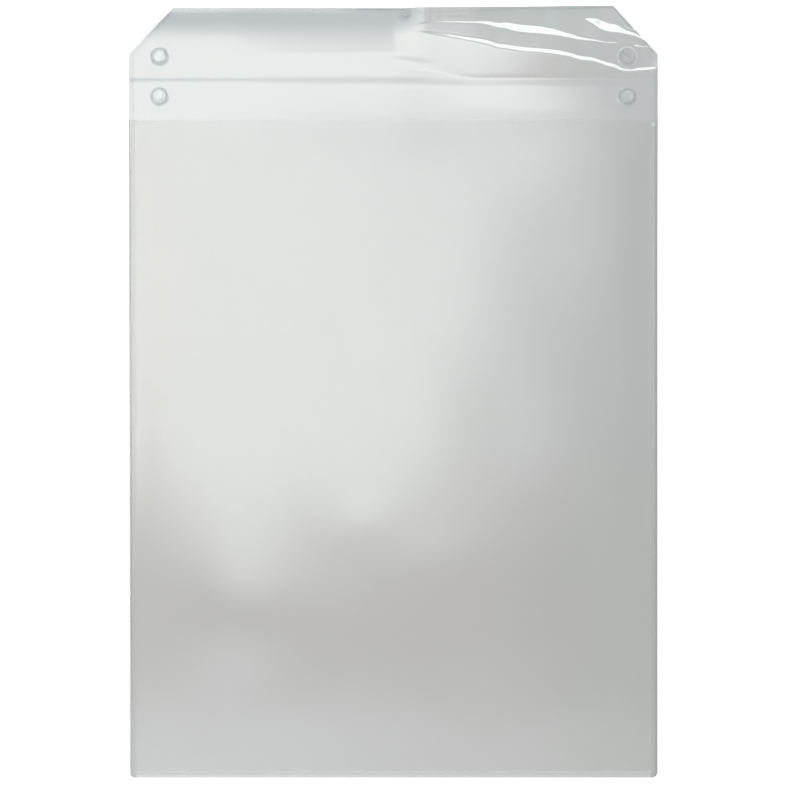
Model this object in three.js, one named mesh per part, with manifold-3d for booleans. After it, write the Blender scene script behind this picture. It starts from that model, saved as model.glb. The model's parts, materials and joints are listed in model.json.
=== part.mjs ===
// Clear vinyl document sleeve, lying on its back on a table with its flap laid open.
// Millimetres. X is the width, Y the length with the flap at +Y, Z the height above the table.
// The origin is on the table, under the middle of the open sleeve.
import * as THREE from "three";
import { mergeVertices } from "three/addons/utils/BufferGeometryUtils.js";
import Module from "manifold-3d";

const wasm = await Module();
wasm.setup();

// Films: sizes of the cut sheets
const width = 230;
const pocketDepth = 286; // bottom edge to mouth
const bandHeight = 19; // mouth to fold, a single film that carries the lower snap halves
const flapHeight = 31; // fold to free edge
const flapCornerWidth = 19.2; // the flap's two cut corners, along the free edge
const flapCornerHeight = 21; // and along the sides
const filmThickness = 0.3;
const foldGap = 0.3; // between the two rigid halves of the film, along the fold

// Heat-welded seams that join the two films on three sides
const weldWidth = 3;
const bottomCornerRadius = 2.6;

// Shape of the empty pocket: the front film arches over the back one
const pocketGap = 4.9; // clear height between the films
const sideArchRun = 48; // from a side weld in to the full height
const bottomArchRun = 48; // from the bottom weld up to the full height

// Press studs: two on the flap meet two on the band when the flap is folded over
const snapInset = 13.3; // side edge to snap centre
const snapFromFold = 8.7; // fold to snap centre, alike on both sides of the fold
const capRadius = 4.5;
const capThickness = 1;
const capEdgeRadius = 0.6;
const postRadius = 0.6;
const headLip = 0.55; // how far the flattened end of a post stands out over it
const headHeight = 0.4;
const seatThickness = 0.6; // floor of a socket or stud, which the post holds down
const studShoulder = 1.3; // height of the stud's body under its knob
const knobHeight = 1.4;
const studWall = 0.5;
const socketWall = 1.25;
const flangeHeight = 0.7;
const flangeLip = 0.7;
const snapTaper = 0.25; // chamfers on the sockets and studs
const looseFit = 0.3; // clearance round a post and its head, and between closed snap halves
const knobFit = 0.4; // clearance between a knob and its socket

// How the film lies over the snap caps that it rests on
const restMargin = 2; // flat film round a cap
const sagRun = 30; // from there down to the table

// Fineness of the meshes
const gridStep = 18;
const mouthStep = 7; // near the snaps, where the film bends more
const roundSides = 24;
const edgeSteps = 3;

// Places worked out from the sizes above
const halfWidth = width / 2;
const pocketHalfWidth = halfWidth - weldWidth;
const sleeveLength = pocketDepth + bandHeight + flapHeight;
const bottomY = -sleeveLength / 2;
const pocketBottomY = bottomY + weldWidth;
const mouthY = bottomY + pocketDepth;
const foldY = mouthY + bandHeight;
const topY = foldY + flapHeight;
const snapX = halfWidth - snapInset;
const flatX = snapX - capRadius - restMargin;
const flatY = snapFromFold + capRadius + restMargin;

// Snap radii and heights, from the post outwards
const boreRadius = postRadius + looseFit;
const headRadius = postRadius + headLip;
const recessRadius = headRadius + looseFit;
const knobRadius = recessRadius + studWall;
const cavityRadius = knobRadius + knobFit;
const barrelRadius = cavityRadius + socketWall;
const flangeRadius = barrelRadius + flangeLip;
const snapBaseZ = capThickness + filmThickness;
const socketHeight = seatThickness + headHeight + knobHeight;
const closedGap = studShoulder + looseFit + socketHeight;

// Height of the line that the flap turns about: half the thickness of a closed snap
const foldZ = snapBaseZ + closedGap / 2;

// 0 below zero, 1 above one and a smooth S between
function smooth(t) {
  const s = Math.min(Math.max(t, 0), 1);
  return s * s * (3 - 2 * s);
}

// 0 at zero, then a parabola that levels out at 1
function arch(t) {
  return 1 - (1 - Math.min(Math.max(t, 0), 1)) ** 2;
}

// Height of the underside of the back film and the flap: they lie on the table and on the caps
function filmRest(x, y) {
  const across = smooth(1 - (flatX - Math.abs(x)) / sagRun);
  const along = smooth(1 - (Math.abs(y - foldY) - flatY) / sagRun);
  return capThickness * across * along;
}

// Height of the underside of the front film
function frontRest(x, y) {
  const sides = arch((pocketHalfWidth - Math.abs(x)) / sideArchRun);
  const bottom = arch((y - pocketBottomY) / bottomArchRun);
  return filmRest(x, y) + filmThickness + pocketGap * sides * bottom;
}

// Lines of a grid: the given stops, in order, with even steps between them
function gridLines(stops, step) {
  const sorted = [...new Set(stops)].sort((a, b) => a - b);
  const lines = [sorted[0]];
  for (let k = 1; k < sorted.length; k++) {
    const from = sorted[k - 1];
    const span = sorted[k] - from;
    const count = Math.max(1, Math.ceil(span / step));
    for (let n = 1; n <= count; n++) lines.push(from + (span * n) / count);
  }
  return lines;
}

// The same stops on both sides of the middle
function mirrored(stops) {
  return [...stops.map((x) => -x), 0, ...stops];
}

// A closed sheet of even thickness over the grid cells that keep() accepts
function sheet(xLines, yLines, under, thickness, keep = () => true) {
  const columns = xLines.length;
  const rows = yLines.length;
  const positions = [];
  for (const rise of [0, thickness])
    for (const y of yLines) for (const x of xLines) positions.push(x, y, under(x, y) + rise);
  const index = [];
  const corner = (i, j, face) => (face * rows + j) * columns + i;
  const quad = (a, b, c, d) => index.push(a, b, c, a, c, d);
  const kept = (i, j) =>
    i >= 0 &&
    j >= 0 &&
    i < columns - 1 &&
    j < rows - 1 &&
    keep((xLines[i] + xLines[i + 1]) / 2, (yLines[j] + yLines[j + 1]) / 2);
  const wall = (i, j, m, n) => quad(corner(i, j, 0), corner(m, n, 0), corner(m, n, 1), corner(i, j, 1));
  for (let j = 0; j < rows - 1; j++)
    for (let i = 0; i < columns - 1; i++) {
      if (!kept(i, j)) continue;
      quad(corner(i, j, 1), corner(i + 1, j, 1), corner(i + 1, j + 1, 1), corner(i, j + 1, 1));
      quad(corner(i, j, 0), corner(i, j + 1, 0), corner(i + 1, j + 1, 0), corner(i + 1, j, 0));
      if (!kept(i, j - 1)) wall(i, j, i + 1, j);
      if (!kept(i + 1, j)) wall(i + 1, j, i + 1, j + 1);
      if (!kept(i, j + 1)) wall(i + 1, j + 1, i, j + 1);
      if (!kept(i - 1, j)) wall(i, j + 1, i, j);
    }
  const geometry = new THREE.BufferGeometry();
  geometry.setAttribute("position", new THREE.Float32BufferAttribute(positions, 3));
  geometry.setIndex(index);
  return geometry;
}

// A three.js geometry as a solid for cutting
function solid(geometry) {
  const bare = geometry.clone();
  bare.deleteAttribute("normal");
  bare.deleteAttribute("uv");
  const merged = mergeVertices(bare);
  return new wasm.Manifold(
    new wasm.Mesh({
      numProp: 3,
      vertProperties: new Float32Array(merged.attributes.position.array),
      triVerts: new Uint32Array(merged.index.array),
    }),
  );
}

// The geometry left when the cutters are taken out of it
function cut(geometry, cutters) {
  const left = cutters.reduce((body, cutter) => body.subtract(solid(cutter)), solid(geometry));
  const mesh = left.getMesh();
  const result = new THREE.BufferGeometry();
  result.setAttribute("position", new THREE.BufferAttribute(mesh.vertProperties, 3));
  result.setIndex(new THREE.BufferAttribute(mesh.triVerts, 1));
  return result;
}

// An upright prism through the whole sleeve, over a flat outline
function prism(shape) {
  const reach = foldZ + pocketGap;
  return new THREE.ExtrudeGeometry(shape, { depth: 2 * reach, bevelEnabled: false, curveSegments: 6 })
    .translate(0, 0, -reach);
}

// What is cut away outside a bottom corner's round; side is -1 or 1
function bottomCornerCutter(side) {
  const r = bottomCornerRadius;
  const shape = new THREE.Shape();
  shape.moveTo(halfWidth - r, bottomY);
  shape.absarc(halfWidth - r, bottomY + r, r, -Math.PI / 2, 0, false);
  shape.lineTo(halfWidth + r, bottomY + r);
  shape.lineTo(halfWidth + r, bottomY - r);
  shape.lineTo(halfWidth - r, bottomY - r);
  return side > 0 ? prism(shape) : prism(shape).rotateY(Math.PI);
}

// The slanting cut across a corner of the flap; side is -1 or 1
function flapCornerCutter(side) {
  const shape = new THREE.Shape();
  shape.moveTo(halfWidth, topY - flapCornerHeight);
  shape.lineTo(halfWidth + flapCornerWidth, topY - flapCornerHeight);
  shape.lineTo(halfWidth + flapCornerWidth, topY + flapCornerHeight);
  shape.lineTo(halfWidth - flapCornerWidth, topY + flapCornerHeight);
  shape.lineTo(halfWidth - flapCornerWidth, topY);
  return side > 0 ? prism(shape) : prism(shape).rotateY(Math.PI);
}

// The hole that a snap's post goes through
function postHole(x, y) {
  const reach = foldZ + pocketGap;
  return new THREE.CylinderGeometry(boreRadius, boreRadius, 2 * reach, roundSides)
    .rotateX(Math.PI / 2)
    .translate(x, y, 0);
}

// A turned piece from its profile of radius and height, standing on z = 0
function turned(profile) {
  const points = profile.map(([r, z]) => new THREE.Vector2(r, z));
  return new THREE.LatheGeometry(points, roundSides).rotateX(Math.PI / 2);
}

// Snap cap: a smooth disc under the film, with its post up through it and the post's flattened end
function snapCap() {
  const headZ = snapBaseZ + seatThickness;
  const roundedEdge = [];
  for (let k = 0; k <= edgeSteps; k++) {
    const angle = (Math.PI / 2) * (k / edgeSteps);
    roundedEdge.push([
      capRadius - capEdgeRadius * (1 - Math.sin(angle)),
      capEdgeRadius * (1 - Math.cos(angle)),
    ]);
  }
  return turned([
    [0, 0],
    ...roundedEdge,
    [capRadius, capThickness],
    [postRadius, capThickness],
    [postRadius, headZ],
    [headRadius, headZ],
    [headRadius, headZ + headHeight],
    [0, headZ + headHeight],
  ]);
}

// Snap socket: a flanged cup with a hole in its floor
function snapSocket() {
  return turned([
    [boreRadius, 0],
    [flangeRadius, 0],
    [flangeRadius, flangeHeight - snapTaper],
    [flangeRadius - snapTaper, flangeHeight],
    [barrelRadius, flangeHeight],
    [barrelRadius, socketHeight - snapTaper],
    [barrelRadius - snapTaper, socketHeight],
    [cavityRadius, socketHeight],
    [cavityRadius, seatThickness],
    [boreRadius, seatThickness],
    [boreRadius, 0],
  ]);
}

// Snap stud: a flanged ring with a hollow knob that the socket grips
function snapStud() {
  const top = studShoulder + knobHeight;
  return turned([
    [boreRadius, 0],
    [flangeRadius, 0],
    [flangeRadius, flangeHeight - snapTaper],
    [flangeRadius - snapTaper, flangeHeight],
    [barrelRadius, flangeHeight],
    [barrelRadius - snapTaper, studShoulder],
    [knobRadius - snapTaper, studShoulder],
    [knobRadius, top - 2 * snapTaper],
    [knobRadius, top - snapTaper],
    [knobRadius - snapTaper, top],
    [recessRadius, top],
    [recessRadius, seatThickness],
    [boreRadius, seatThickness],
    [boreRadius, 0],
  ]);
}

// A clear plastic of the given tint, gloss and density
function clearPlastic(color, roughness, opacity) {
  return new THREE.MeshStandardMaterial({ color, roughness, metalness: 0, transparent: true, opacity });
}

// Clear soft film, the melted film of the welds, and the harder clear plastic of the snaps
const film = () => clearPlastic(0xdfe5e4, 0.15, 0.35);
const weldedFilm = () => clearPlastic(0xc3c9c9, 0.3, 0.5);
const clearSnap = () => clearPlastic(0xe8ecec, 0.2, 0.5);

function named(name, geometry, material) {
  const mesh = new THREE.Mesh(geometry, material);
  mesh.name = name;
  return mesh;
}

// Grid lines that all the films share, so that their edges meet exactly
const xStops = mirrored([flatX - sagRun, flatX, pocketHalfWidth]);
const pocketX = gridLines(xStops, gridStep);
const fullX = gridLines([-halfWidth, ...xStops, halfWidth], gridStep);
const sagStartY = Math.min(foldY - flatY - sagRun, mouthY);
const lowerY = gridLines([pocketBottomY, pocketBottomY + bottomArchRun, sagStartY], gridStep);
const pocketY = [...lowerY, ...gridLines([sagStartY, mouthY], mouthStep).slice(1)];
const bandY = gridLines([mouthY, foldY - foldGap / 2], mouthStep).slice(1);
const flapY = gridLines([foldY + foldGap / 2, topY], mouthStep);

const sleeve = new THREE.Group();
const snapsOnBand = [-snapX, snapX].map((x) => ({ x, y: foldY - snapFromFold }));
const snapsOnFlap = [-snapX, snapX].map((x) => ({ x, y: foldY + snapFromFold }));
const sideOf = (x) => (x < 0 ? "left" : "right");

// Back film: the pocket's back, and above the mouth the full width up to the fold
const inBackFilm = (x, y) => Math.abs(x) < pocketHalfWidth || y > mouthY;
const backSheet = sheet(fullX, [...pocketY, ...bandY], filmRest, filmThickness, inBackFilm);
const bandHoles = snapsOnBand.map(({ x, y }) => postHole(x, y));
sleeve.add(named("back_panel", cut(backSheet, bandHoles), film()));

// Front film, from the bottom weld to its free edge at the mouth
sleeve.add(named("front_panel", sheet(pocketX, pocketY, frontRest, filmThickness), film()));

// Welds: both films melted together, with the two bottom corners rounded
const cornerCutters = [bottomCornerCutter(-1), bottomCornerCutter(1)];
const sideWeldY = [bottomY, ...pocketY];
for (const [name, xLines, yLines] of [
  ["left_side_weld", [-halfWidth, -pocketHalfWidth], sideWeldY],
  ["right_side_weld", [pocketHalfWidth, halfWidth], sideWeldY],
  ["bottom_weld", pocketX, [bottomY, pocketBottomY]],
]) {
  const strip = sheet(xLines, yLines, filmRest, 2 * filmThickness);
  sleeve.add(named(name, cut(strip, cornerCutters), weldedFilm()));
}

// Lower snap halves, on the band
for (const { x, y } of snapsOnBand) {
  const cap = named("band_snap_cap_" + sideOf(x), snapCap(), clearSnap());
  cap.position.set(x, y, 0);
  const stud = named("band_snap_stud_" + sideOf(x), snapStud(), clearSnap());
  stud.position.set(x, y, snapBaseZ);
  sleeve.add(cap, stud);
}

// The flap and its snap halves turn together about the fold: 0 degrees open, 180 degrees closed
const flap = new THREE.Group();
flap.position.set(0, foldY, foldZ);
sleeve.add(flap);
const flapHoles = snapsOnFlap.map(({ x, y }) => postHole(x, y));
const flapCutters = [flapCornerCutter(-1), flapCornerCutter(1), ...flapHoles];
const flapSheet = sheet(fullX, flapY, filmRest, filmThickness);
const flapPanel = named("flap_panel", cut(flapSheet, flapCutters), film());
flapPanel.position.set(0, -foldY, -foldZ);
flap.add(flapPanel);
for (const { x } of snapsOnFlap) {
  const cap = named("flap_snap_cap_" + sideOf(x), snapCap(), clearSnap());
  cap.position.set(x, snapFromFold, -foldZ);
  const socket = named("flap_snap_socket_" + sideOf(x), snapSocket(), clearSnap());
  socket.position.set(x, snapFromFold, snapBaseZ - foldZ);
  flap.add(cap, socket);
}

export default sleeve;
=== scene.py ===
"""Looks of a clear vinyl document sleeve, lying open on a white table and seen from straight above."""

import json

import bmesh
import bpy
import numpy as np
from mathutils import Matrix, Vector


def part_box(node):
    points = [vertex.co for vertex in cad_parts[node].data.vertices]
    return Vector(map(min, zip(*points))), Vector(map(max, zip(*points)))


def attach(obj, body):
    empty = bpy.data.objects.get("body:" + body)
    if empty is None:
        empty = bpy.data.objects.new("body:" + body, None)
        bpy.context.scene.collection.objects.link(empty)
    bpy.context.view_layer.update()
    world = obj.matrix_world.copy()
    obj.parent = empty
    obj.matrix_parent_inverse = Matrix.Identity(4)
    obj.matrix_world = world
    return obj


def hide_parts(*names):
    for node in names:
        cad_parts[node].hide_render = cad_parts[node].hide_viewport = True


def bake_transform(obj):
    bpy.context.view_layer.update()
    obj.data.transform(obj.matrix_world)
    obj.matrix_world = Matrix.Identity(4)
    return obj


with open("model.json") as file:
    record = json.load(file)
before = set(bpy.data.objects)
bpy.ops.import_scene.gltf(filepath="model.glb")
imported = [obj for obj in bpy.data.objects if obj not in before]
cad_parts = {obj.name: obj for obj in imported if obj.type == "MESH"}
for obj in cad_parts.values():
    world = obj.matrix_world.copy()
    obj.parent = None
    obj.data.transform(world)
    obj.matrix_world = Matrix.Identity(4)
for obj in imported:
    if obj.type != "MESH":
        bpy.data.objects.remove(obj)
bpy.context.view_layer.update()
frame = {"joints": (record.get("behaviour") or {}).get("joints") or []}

# Places and sizes of the sleeve, in metres, all from the frame
_, front_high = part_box("front_panel")
_, flap_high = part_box("flap_panel")
weld_low, weld_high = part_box("right_side_weld")
bottom_low, bottom_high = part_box("bottom_weld")
band_cap_low, band_cap_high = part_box("band_snap_cap_right")
stud_low, stud_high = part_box("band_snap_stud_right")
socket_low, socket_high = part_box("flap_snap_socket_right")

HALF_WIDTH = weld_high.x
POCKET_HALF = weld_low.x
BOTTOM = bottom_low.y
POCKET_BOTTOM = bottom_high.y
MOUTH = front_high.y
FOLD = frame["joints"][0]["pos_m"][1]
TOP = flap_high.y
FILM = (bottom_high.z - bottom_low.z) / 2
WELD = HALF_WIDTH - POCKET_HALF
SNAP_X = (band_cap_low.x + band_cap_high.x) / 2
SNAP_FROM_FOLD = FOLD - (band_cap_low.y + band_cap_high.y) / 2
CAP_RADIUS = (band_cap_high.x - band_cap_low.x) / 2
SNAP_BASE = stud_low.z
CAP_THICKNESS = SNAP_BASE - FILM
STUD_HEIGHT = stud_high.z - stud_low.z
SOCKET_HEIGHT = socket_high.z - socket_low.z

MM = 0.001

# How the film rests on the snap caps: how far round a cap it is flat, and how long it takes to come down
REST_MARGIN = 2 * MM
SAG_ACROSS = 88 * MM
SAG_ALONG = 60 * MM

# How high the front film bows over the back one, and how far from the bottom weld it takes to rise
BOW = 3.7 * MM
BOW_LENGTH = 110 * MM

# The flap's cut corners and the sleeve's rounded bottom corners
CORNER_WIDTH = 19.2 * MM
CORNER_HEIGHT = 21 * MM
BOTTOM_RADIUS = 2.6 * MM

# How far the roll and the folds draw the free edge back, in millimetres across the width
FREE_EDGE = ((-95, 0.9), (4, 1.0), (60, 0.35), (92, 0))

# The angle from which a crease between two faces is shaded as an edge, and distances that count as none
SHARP_TURN = np.radians(50)
SAME_SPOT = 1e-7
NO_LENGTH = 1e-8

# The painted shade along a cut edge, standing in for the dark line that refraction gives there: two falls away
# from it, each with its share and its reach in millimetres
EDGE_SHADE_FALLS = ((0.55, 0.5), (0.45, 1.8))


def smooth(t):
    """0 below zero, 1 above one and 3t² - 2t³ between."""
    s = np.clip(t, 0.0, 1.0)
    return s * s * (3 - 2 * s)


def bump(t):
    """A bell that is 1 at zero and e to the minus one at one: exp(-t²)."""
    return np.exp(-t * t)


def film_rest(x, y):
    """Height of the film's underside: the caps' thickness round the snaps, falling to the table smoothly."""
    flat_x = SNAP_X - CAP_RADIUS - REST_MARGIN
    flat_y = SNAP_FROM_FOLD + CAP_RADIUS + REST_MARGIN
    across = smooth(1 - (flat_x - np.abs(x)) / SAG_ACROSS)
    along = smooth(1 - (np.abs(y - FOLD) - flat_y) / SAG_ALONG)
    return CAP_THICKNESS * across * along


def lines(*stretches):
    """Grid lines through stretches of (start, end, step), each stretch evenly divided."""
    parts = []
    for start, end, step in stretches:
        count = max(1, int(round((end - start) / step)))
        parts.append(np.linspace(start, end, count + 1)[:-1])
    return np.concatenate(parts + [[stretches[-1][1]]])


def new_object(name, vertices, faces):
    """A mesh object at the origin with smooth faces, and sharp edges where it turns by more than SHARP_TURN."""
    mesh = bpy.data.meshes.new(name)
    mesh.from_pydata(vertices.tolist(), [], faces.tolist())
    mesh.update()
    mesh.polygons.foreach_set("use_smooth", np.ones(len(mesh.polygons), bool))
    mesh.set_sharp_from_angle(angle=SHARP_TURN)
    piece = bpy.data.objects.new(name, mesh)
    bpy.context.scene.collection.objects.link(piece)
    return piece


def edge_shade_share(distance):
    """Share of painted edge shade: 1 at a cut edge, falling steeply over half a millimetre and then slowly to 0
    at 1.8 mm.
    """
    away = np.abs(distance) / MM
    return sum(share * np.clip(1 - away / reach, 0, 1) for share, reach in EDGE_SHADE_FALLS)


def closed_sheet(name, x, y, under, over, rim):
    """A closed sheet over the grid x, y, between the heights under and over, with a wall round it.

    The share rim of each point, 1 on a cut edge, is kept for the finish, which paints shade there."""
    rows, columns = x.shape
    count = rows * columns
    low = np.column_stack([x.ravel(), y.ravel(), under.ravel()])
    high = np.column_stack([x.ravel(), y.ravel(), over.ravel()])
    index = np.arange(count).reshape(rows, columns)
    a, b = index[:-1, :-1].ravel(), index[:-1, 1:].ravel()
    c, d = index[1:, 1:].ravel(), index[1:, :-1].ravel()
    top = np.column_stack([a, b, c, d]) + count
    bottom = np.column_stack([a, d, c, b])
    round_it = np.concatenate([index[0, :-1], index[:-1, -1], index[-1, :0:-1], index[:0:-1, 0]])
    after = np.roll(round_it, -1)
    walls = np.column_stack([round_it, after, after + count, round_it + count])
    piece = new_object(name, np.concatenate([low, high]), np.concatenate([top, bottom, walls]))
    near_rim = piece.data.attributes.new("rim", "FLOAT", "POINT")
    near_rim.data.foreach_set("value", np.tile(rim.ravel(), 2))
    return piece


# How many sides a turned piece has, how many times longer a profile's side is at least than the reach of the
# curve at its end, and how far past that curve the point lies that keeps the side flat, in shares of its reach
TURNED_SIDES = 72
SIDE_PER_REACH = 2.4
KEPT_FLAT = 0.12


def turned(name, profile, centre):
    """A profile of (radius, height) points carried round the upright axis through centre.

    A closed profile makes a ring; one that starts and ends on the axis makes a solid."""
    profile = np.array(profile, float)
    ring = np.hypot(*(profile[0] - profile[-1])) < SAME_SPOT and profile[0][0] > 0
    points = profile[:-1] if ring else profile
    angles = np.linspace(0, 2 * np.pi, TURNED_SIDES, endpoint=False)
    x = centre[0] + np.outer(np.cos(angles), points[:, 0])
    y = centre[1] + np.outer(np.sin(angles), points[:, 0])
    z = centre[2] + np.tile(points[:, 1], (TURNED_SIDES, 1))
    count = len(points)
    side = np.arange(TURNED_SIDES)[:, None]
    here, there = side * count, (side + 1) % TURNED_SIDES * count
    k = np.arange(count if ring else count - 1)
    after = (k + 1) % count
    faces = np.stack([here + k, there + k, there + after, here + after], axis=-1).reshape(-1, 4)
    piece = new_object(name, np.column_stack([x.ravel(), y.ravel(), z.ravel()]), faces)
    if not ring:
        merge_close(piece)
    return piece


def merge_close(piece):
    """Joins the points that lie on one spot, such as those of a pole."""
    shape = bmesh.new()
    shape.from_mesh(piece.data)
    bmesh.ops.remove_doubles(shape, verts=shape.verts, dist=SAME_SPOT)
    bmesh.ops.dissolve_degenerate(shape, edges=shape.edges, dist=NO_LENGTH)
    shape.to_mesh(piece.data)
    shape.free()


def rounded(corners, radius, steps=4):
    """The outline through (radius, height) corners with each inner corner replaced by a short curve that
    touches both sides, and a point just past each end of it that keeps the flat sides flat."""
    made = [corners[0]]
    for before, corner, after in zip(corners[:-2], corners[1:-1], corners[2:]):
        before, corner, after = (np.array(p, float) for p in (before, corner, after))
        back, on = before - corner, after - corner
        back_length, on_length = np.linalg.norm(back), np.linalg.norm(on)
        reach = min(radius, back_length / SIDE_PER_REACH, on_length / SIDE_PER_REACH)
        start = corner + back / back_length * reach
        end = corner + on / on_length * reach
        made.append(start + (start - corner) * KEPT_FLAT)
        for t in np.linspace(0, 1, steps + 1):
            made.append((1 - t) ** 2 * start + 2 * t * (1 - t) * corner + t**2 * end)
        made.append(end + (end - corner) * KEPT_FLAT)
    made.append(corners[-1])
    return made


# The flap's folds, in millimetres from the middle of the width and from the fold line.
# A facet is a strip of film that falls more steeply towards the free edge: the line of its middle, its half
# width and how fully it is formed, each at a few places across the width, and how many degrees it falls. At
# 13 degrees a facet mirrors the far lamp.
LOWER_FOLD = {
    "line": (
        (8, 20.4), (20, 18.4), (33, 16.6), (41, 14.9), (47, 13.2), (55, 12.2), (64, 11.4), (73, 10.2),
        (80, 8.6), (87, 7.4), (92, 5.9), (97, 4.4), (101, 3.7), (108, 3.6), (115, 4.2),
    ),
    "half": ((10, 0.06), (20, 0.35), (30, 0.8), (40, 1.1), (60, 1.2), (90, 1.0), (115, 0.8)),
    "fall": 13,
    "formed": ((9, 0), (15, 1), (113, 1), (115, 0.7)),
}
UPPER_FOLD = {
    "line": (
        (8, 22.6), (16, 23.8), (36, 23.9), (44, 22.9), (51, 21.8), (58, 21.0), (65, 20.3), (71, 19.2),
        (75, 18.1), (80, 17.2), (87, 15.9), (96, 14.8), (115, 12.8),
    ),
    "half": (
        (10, 0.06), (20, 0.3), (36, 0.5), (45, 1.1), (52, 1.8), (66, 1.8), (72, 1.3), (80, 0.8),
        (92, 0.32), (115, 0.28),
    ),
    "fall": 13,
    "formed": ((9, 0), (15, 1), (115, 1)),
}
CORNER_FACET = {
    "line": ((83, 25.3), (86, 24.6), (90, 23.1), (94, 22.1), (97, 21.0), (100, 20.0), (106, 18.4), (111, 15.7)),
    "half": ((83, 0.3), (86, 1.0), (90, 2.2), (94, 2.7), (97, 1.9), (100, 1.0), (106, 0.7), (111, 0.3)),
    "fall": 13,
    "formed": ((82.5, 0), (84, 1), (110, 1), (111.5, 0)),
}
TOP_STREAK = {
    "line": ((10, 25.8), (50, 26.9), (70, 27.6)),
    "half": ((10, 0.5), (70, 0.5)),
    "fall": 6,
    "formed": ((14, 0), (26, 0.4), (60, 0.4), (74, 0)),
}
PINCH = {
    "line": ((2, 27.8), (9, 27.0)),
    "half": ((2, 1.3), (9, 1.3)),
    "fall": 7,
    "formed": ((2.4, 0), (4, 1), (5.6, 1), (7.5, 0)),
}
FACETS = (LOWER_FOLD, UPPER_FOLD, CORNER_FACET, TOP_STREAK, PINCH)

# A facet's soft ends: how far from its middle it ends and how soft that is, in half widths
FACET_REACH, FACET_SOFTNESS = 1.4, 0.8

# How a facet's line strays: height and length of its wave and of a finer one, how far and over what length the
# first one's phase wanders, and where across the width and over what length the straying sets in
JAG, JAG_LENGTH = 0.16, 2.6
FINE_JAG, FINE_JAG_LENGTH = 0.05, 1.1
WANDER, WANDER_LENGTH = 2, 7.0
JAGGED_START, JAGGED_LENGTH = 8, 20

# The painted shade at the pinch, where the film is crumpled: its middle, its radius and how strong it is
PINCH_SHADE_MIDDLE = (5, 27.6)
PINCH_SHADE_RADIUS = 1.5
PINCH_SHADE_STRENGTH = 0.9

# The right side across the width: degrees of its rise, where along the flap the rise starts, and degrees of
# fall beyond the lower fold and beyond the corner facet
SIDE_RISE = ((0, 5.8), (12, 6.4), (84, 6.5), (93, 7.5), (98, 9), (103, 8), (109, 5), (115, 4))
SIDE_START = ((0, 3.0), (16, 2.4), (34, -1.3), (115, -1.3))
SIDE_BEYOND = ((0, 0.8), (40, 1.1), (60, 1.7), (82, 1.4), (92, 0.4), (100, 0.6), (115, 2.0))
CORNER_BEYOND = ((91, 0), (95, 2.5), (100, 7.5))

# The left side across the width: degrees of its rise and of its roll, how fully its lip is formed, and the
# degrees that the lip falls
ROLL_RISE = ((-112, 0), (-92, 0.2), (-70, 3.4), (0, 4.4))
ROLL_FALL = ((-112, 2.9), (-60, 3.1), (10, 3.1))
LIP_SHARE = ((-26, 0.95), (-8, 0.2))
LIP_FALL = ((-80, -0.4), (-60, 0.3))

# Along the right side: how soon it rises fully, how far before the lower fold the rise ends and how softly, and
# how far past that fold and how softly the fall starts, and how softly the one past the corner facet does
SIDE_LENGTH = 1.2
SIDE_STOP, SIDE_STOP_LENGTH = 0.5, 1.2
BEYOND_START, BEYOND_LENGTH = 1.2, 1.5
CORNER_LENGTH = 0.8

# Along the left side: where the faint rise starts and ends and how softly, where the roll starts, over what
# length it steepens and its greatest share, and where the lip starts and how soon it is level
FAINT_START, FAINT_START_LENGTH = 1, 2
FAINT_STOP, FAINT_STOP_LENGTH = 8.5, 3
ROLL_START, ROLL_LENGTH, ROLL_MOST = 12.6, 12.5, 1.08
LIP_START, LIP_LENGTH = 26.3, 3.4

# The change from the left side to the right one: where across the width it starts and how wide it is, how much
# further left and wider it is beside the fold, where that ends and how softly, and from where and how much it
# leans right near the free edge
CHANGE_START, CHANGE_WIDTH = -0.5, 16
LOW_SHIFT, LOW_WIDTH = 15, 11
LOW_END, LOW_LENGTH = 12, 9
LEAN_START, LEAN_LENGTH, LEAN = 20, 9, 0.3

# Step of the table of heights along the flap, and where it starts, in millimetres from the fold line
TABLE_STEP = 0.25
FOLDING_START = -1.5

# How far outside a snap cap the folds and the lift reach their full height
FOLDS_FROM_CAP = 3.2 * MM
LIFT_FROM_CAP = 8 * MM

# How high the folds hold the film at the fold line, in millimetres across the width, and from how far below it
LIFT = (
    (-112, 0), (-92, 0), (-60, 0.2), (0, 0.15), (22, 0.1), (45, 0.35), (60, 0.42), (74, 0.3), (92, 0),
    (115, 0),
)
LIFT_REACH = 16 * MM


# How many readings a rounded corner of an interpolation is the mean of
READINGS = 9


def at(u, points, span=0.0):
    """Interpolation over the width between (place, value) points, its corners rounded off within span."""
    places, values = zip(*points)
    if not span:
        return np.interp(u, places, values)
    shifts = np.linspace(-1, 1, READINGS)
    return sum(np.interp(u + span * shift, places, values) for shift in shifts) / READINGS


def jagged(u):
    """Millimetres that a facet's line strays: a sine whose phase wanders and a finer sine, both setting in
    towards the right."""
    wave = JAG * np.sin(u / JAG_LENGTH + WANDER * np.sin(u / WANDER_LENGTH))
    wave = wave + FINE_JAG * np.sin(u / FINE_JAG_LENGTH + 1)
    return wave * smooth((u - JAGGED_START) / JAGGED_LENGTH)


def formed(u, v, facet):
    """Share of a facet at a place: how fully it is formed there times a box along v with soft ends, round a
    slightly jagged line."""
    t = (v - at(u, facet["line"], 1) - jagged(u)) / at(u, facet["half"], 1)
    box = smooth((t + FACET_REACH) / FACET_SOFTNESS) * smooth((FACET_REACH - t) / FACET_SOFTNESS)
    return at(u, facet["formed"]) * box


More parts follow.
